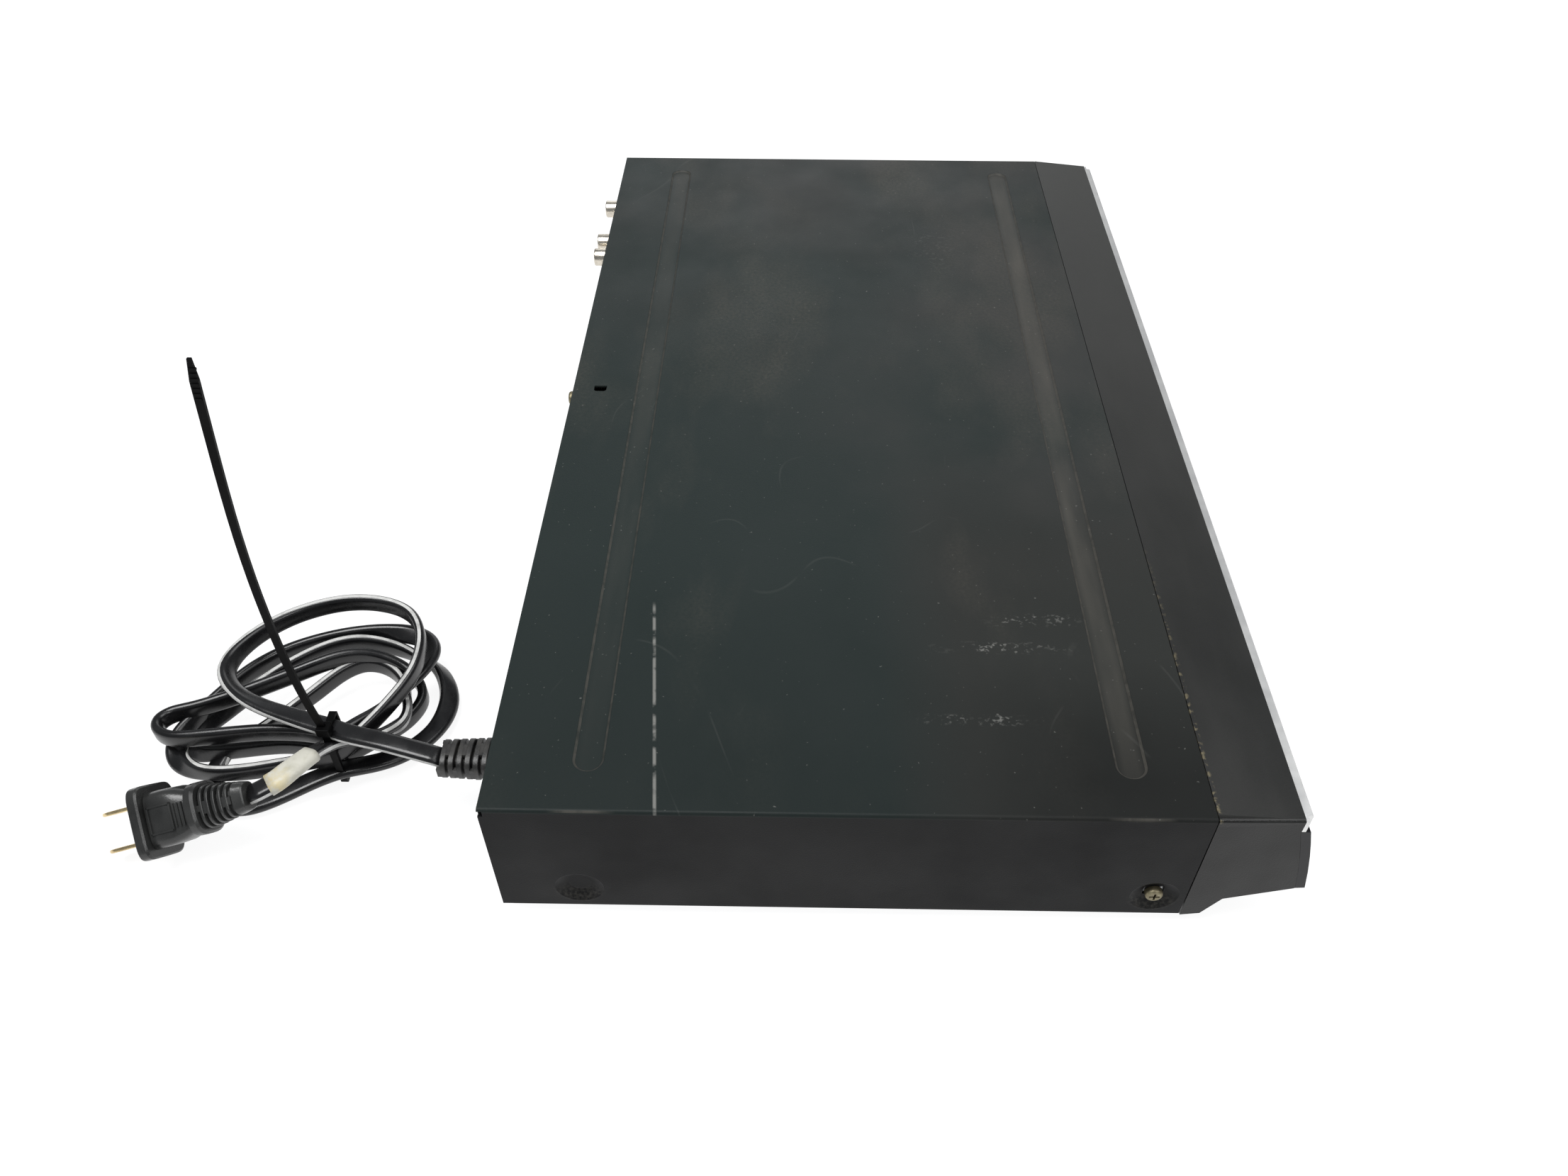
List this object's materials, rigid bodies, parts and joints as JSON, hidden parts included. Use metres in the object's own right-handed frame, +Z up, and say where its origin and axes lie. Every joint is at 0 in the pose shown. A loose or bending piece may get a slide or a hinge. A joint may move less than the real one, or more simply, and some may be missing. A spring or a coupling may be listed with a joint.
{
  "type": "dvd recorder",
  "caption": "Flat disc recorder with a folded steel cover, moulded front with tray, keys and flap, rear sockets and a tied mains cord.",
  "frame": {"origin": "centre of the base: on the surface that the feet stand on, under the middle of the recorder without its cord", "axes": "+X to the right seen from the front, +Y from the front to the sockets, +Z up"},
  "size_m": [0.431, 0.4029, 0.185],
  "materials": {
    "cover_paint": "satin black baked paint",
    "zinc_steel": "zinc plated",
    "foot_rubber": "matte",
    "bezel_plastic": "fine matte moulding",
    "gloss_front": "gloss",
    "smoked_window": "smoked, polished",
    "silver_trim": "silver lacquer",
    "circuit_board": "green solder mask",
    "black_plastic": "moulded",
    "gear_plastic": "natural acetal",
    "nickel": "nickel plated",
    "belt_rubber": "matte",
    "lens_glass": "coated lens",
    "can_aluminium": "plain",
    "transformer_core": "varnished ferrite and copper",
    "ribbon_film": "white film",
    "socket_colours": "coloured inserts",
    "cord_pvc": "smooth black flexible jacket",
    "tie_nylon": "black nylon",
    "label_paper": "blank wrap label",
    "blade_brass": "worn nickel over brass"
  },
  "bodies": {
    "casing": {"antenna_sockets": "nickel", "board_spacers": "can_aluminium", "cable_tie": "tie_nylon", "capacitors": "can_aluminium", "chassis_pan": "zinc_steel", "cord_coil": "cord_pvc", "cord_end": "cord_pvc", "cord_label": "label_paper", "cord_lead": "cord_pvc", "display_tube": "smoked_window", "display_window": "smoked_window", "drive_belt": "belt_rubber", "drive_frame": "black_plastic", "drive_lid": "zinc_steel", "fan_housing": "black_plastic", "front_bezel": "bezel_plastic", "front_board": "circuit_board", "front_plate": "gloss_front", "front_sockets": "black_plastic", "heat_sink": "can_aluminium", "loading_motor": "nickel", "main_board": "circuit_board", "plug_blades": "blade_brass", "plug_body": "cord_pvc", "power_board": "circuit_board", "rear_panel": "zinc_steel", "ribbon_cables": "ribbon_film", "rubber_feet": "foot_rubber", "screws": "nickel", "silver_trim": "silver_trim", "socket_barrels": "nickel", "socket_blocks": "black_plastic", "socket_inserts": "socket_colours", "strain_relief": "cord_pvc", "top_cover": "cover_paint", "transformer": "transformer_core", "video_sockets": "black_plastic"},
    "tray": {"disc_tray": "black_plastic", "tray_fascia": "bezel_plastic"},
    "tray_gear": {"tray_gear": "gear_plastic"},
    "pulley_gear": {"pulley_gear": "gear_plastic"},
    "motor_pulley": {"motor_pulley": "nickel"},
    "traverse": {"traverse_plate": "black_plastic", "guide_rods": "zinc_steel", "traverse_motors": "nickel"},
    "turntable": {"turntable": "black_plastic"},
    "laser_sled": {"laser_sled": "black_plastic", "objective_lens": "lens_glass"},
    "sled_gear": {"sled_gear": "gear_plastic"},
    "sled_pinion": {"sled_pinion": "gear_plastic"},
    "clamper": {"disc_clamper": "black_plastic"},
    "av_flap": {"av_flap": "bezel_plastic"},
    "fan_rotor": {"fan_rotor": "black_plastic"},
    "power_button": {"power_button": "bezel_plastic"},
    "eject_button": {"eject_button": "bezel_plastic"},
    "stop_key": {"stop_key": "bezel_plastic"},
    "play_key": {"play_key": "bezel_plastic"},
    "record_key": {"record_key": "bezel_plastic"},
    "channel_down_key": {"channel_down_key": "bezel_plastic"},
    "channel_up_key": {"channel_up_key": "bezel_plastic"}
  },
  "joints": [
    {"name": "tray_slide", "type": "slide", "parent": "casing", "child": "tray", "axis": [0, -1, 0], "range_m": [0, 0.14]},
    {"name": "tray_gear_spin", "type": "hinge", "parent": "casing", "child": "tray_gear", "pos_m": [-0.075, -0.09085, 0.03], "axis": [0, 0, 1], "range_deg": [-5, 680]},
    {"name": "pulley_gear_spin", "type": "hinge", "parent": "casing", "child": "pulley_gear", "pos_m": [-0.055, -0.09085, 0.028], "axis": [0, 0, 1], "range_deg": [-1010, 5]},
    {"name": "motor_pulley_spin", "type": "hinge", "parent": "casing", "child": "motor_pulley", "pos_m": [-0.021, -0.09085, 0.022], "axis": [0, 0, 1], "range_deg": [-4300, 5]},
    {"name": "traverse_lift", "type": "hinge", "parent": "casing", "child": "traverse", "pos_m": [-0.035, 0.04815, 0.026], "axis": [-1, 0, 0], "range_deg": [0, 3]},
    {"name": "turntable_spin", "type": "hinge", "parent": "traverse", "child": "turntable", "pos_m": [-0.035, -0.05185, 0.03], "axis": [0, 0, 1], "continuous": true},
    {"name": "clamper_spin", "type": "hinge", "parent": "casing", "child": "clamper", "pos_m": [-0.035, -0.05185, 0.048], "axis": [0, 0, 1], "continuous": true},
    {"name": "sled_slide", "type": "slide", "parent": "traverse", "child": "laser_sled", "axis": [0, 1, 0], "range_m": [0, 0.034]},
    {"name": "sled_gear_spin", "type": "hinge", "parent": "traverse", "child": "sled_gear", "pos_m": [-0.004, -0.00785, 0.028], "axis": [0, 0, 1], "range_deg": [-246, 2]},
    {"name": "sled_pinion_spin", "type": "hinge", "parent": "traverse", "child": "sled_pinion", "pos_m": [-0.004, 0.00615, 0.028], "axis": [0, 0, 1], "range_deg": [-2, 327]},
    {"name": "av_flap_hinge", "type": "hinge", "parent": "casing", "child": "av_flap", "pos_m": [0.132, -0.13268, 0.0223], "axis": [1, 0, 0], "range_deg": [0, 95]},
    {"name": "fan_spin", "type": "hinge", "parent": "casing", "child": "fan_rotor", "pos_m": [-0.07, 0.118, 0.032], "axis": [0, 1, 0], "continuous": true},
    {"name": "power_button_press", "type": "slide", "parent": "casing", "child": "power_button", "axis": [0, 1, 0], "range_m": [0, 0.0008], "stiffness_N_per_m": 600},
    {"name": "eject_button_press", "type": "slide", "parent": "casing", "child": "eject_button", "axis": [0, 1, 0], "range_m": [0, 0.0008], "stiffness_N_per_m": 600},
    {"name": "stop_key_press", "type": "slide", "parent": "casing", "child": "stop_key", "axis": [0, 1, 0], "range_m": [0, 0.0008], "stiffness_N_per_m": 600},
    {"name": "play_key_press", "type": "slide", "parent": "casing", "child": "play_key", "axis": [0, 1, 0], "range_m": [0, 0.0008], "stiffness_N_per_m": 600},
    {"name": "record_key_press", "type": "slide", "parent": "casing", "child": "record_key", "axis": [0, 1, 0], "range_m": [0, 0.0008], "stiffness_N_per_m": 600},
    {"name": "channel_down_key_press", "type": "slide", "parent": "casing", "child": "channel_down_key", "axis": [0, 1, 0], "range_m": [0, 0.0008], "stiffness_N_per_m": 600},
    {"name": "channel_up_key_press", "type": "slide", "parent": "casing", "child": "channel_up_key", "axis": [0, 1, 0], "range_m": [0, 0.0008], "stiffness_N_per_m": 600}
  ],
  "couplings": [
    {"joint": "tray_gear_spin", "follows": "tray_slide", "rad_per_m": 83.333},
    {"joint": "pulley_gear_spin", "follows": "tray_slide", "rad_per_m": -125},
    {"joint": "motor_pulley_spin", "follows": "tray_slide", "rad_per_m": -532.41},
    {"joint": "clamper_spin", "follows": "turntable_spin", "ratio": 1},
    {"joint": "sled_gear_spin", "follows": "sled_slide", "rad_per_m": -125},
    {"joint": "sled_pinion_spin", "follows": "sled_slide", "rad_per_m": 166.67}
  ]
}
